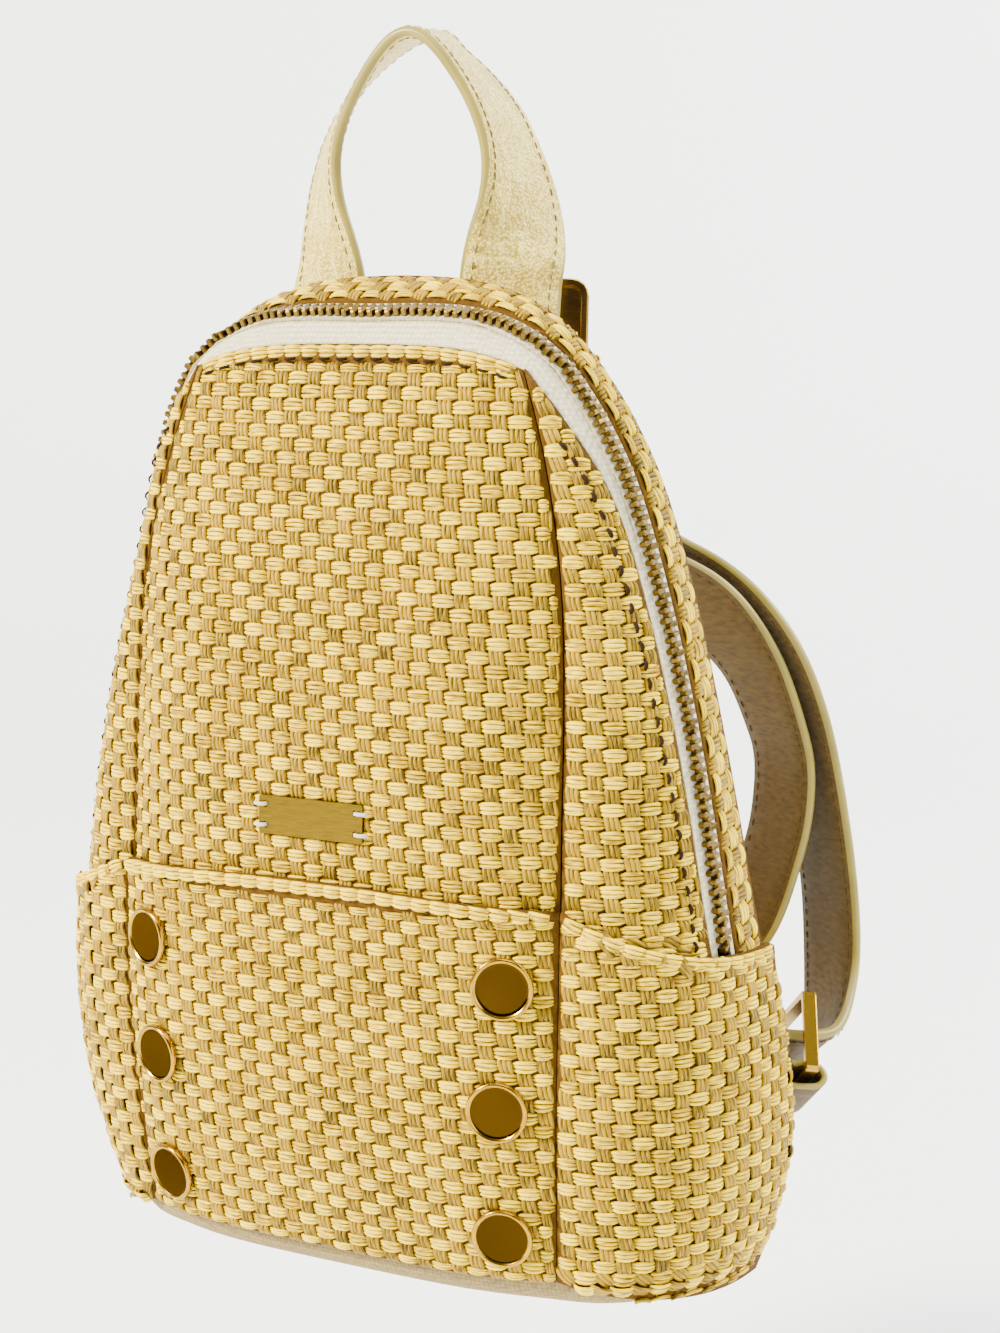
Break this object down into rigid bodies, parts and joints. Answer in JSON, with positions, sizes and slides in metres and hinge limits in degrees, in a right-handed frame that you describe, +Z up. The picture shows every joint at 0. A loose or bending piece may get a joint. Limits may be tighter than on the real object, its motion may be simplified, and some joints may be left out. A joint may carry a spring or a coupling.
{
  "type": "woven straw backpack",
  "caption": "Small dome-shaped woven straw backpack with a lower pocket band, brass rivets, a zip over the top, a leather top handle and leather shoulder straps, hanging by its handle.",
  "frame": {"origin": "the hang point: the inside of the top handle's crest, at the middle of the band's width", "axes": "+Z up as it hangs, the front with the name plate faces -Y, +X to the right of a viewer who faces the front, seen from the front"},
  "size_m": [0.2424, 0.1305, 0.3516],
  "materials": {
    "straw": "plain-woven natural straw, pale wefts over darker twisted warps, matt",
    "canvas": "greige canvas, matt",
    "zip_tape": "off-white woven zip tape, matt",
    "zip_teeth": "antique brass teeth, satin",
    "zip_metal": "antique brass, satin",
    "rivet_brass": "polished flat caps with a bright raised rim",
    "plate_brass": "bare satin brass",
    "thread": "cream cotton thread",
    "handle_leather": "pale champagne pebbled leather with olive painted edges",
    "strap_leather": "greige brown leather inside, olive painted edges",
    "foot_plate_brass": "bright raised rim round a darker bronze face",
    "ring_brass": "flat brushed bar with bevelled ends"
  },
  "bodies": {
    "root": {"back_panel": "straw", "base_panel": "canvas", "front_lower_panel": "straw", "front_upper_panel": "straw", "handle_foot_plate": "foot_plate_brass", "name_plate": "plate_brass", "plate_stitch_1": "thread", "plate_stitch_2": "thread", "plate_stitch_3": "thread", "plate_stitch_4": "thread", "rear_rim": "straw", "rivet_1_left": "rivet_brass", "rivet_1_right": "rivet_brass", "rivet_2_left": "rivet_brass", "rivet_2_right": "rivet_brass", "rivet_3_left": "rivet_brass", "rivet_3_right": "rivet_brass", "shoulder_strap_left": "strap_leather", "shoulder_strap_right": "strap_leather", "side_lower_left": "straw", "side_lower_right": "straw", "side_upper_left": "straw", "side_upper_right": "straw", "strap_ring_left": "ring_brass", "strap_ring_right": "ring_brass", "strap_tab_left": "strap_leather", "strap_tab_right": "strap_leather", "top_handle": "handle_leather", "zip_chain": "zip_teeth", "zip_pull": "zip_metal", "zip_slider": "zip_metal", "zip_tape_front": "zip_tape", "zip_tape_rear": "zip_tape"}
  },
  "joints": []
}
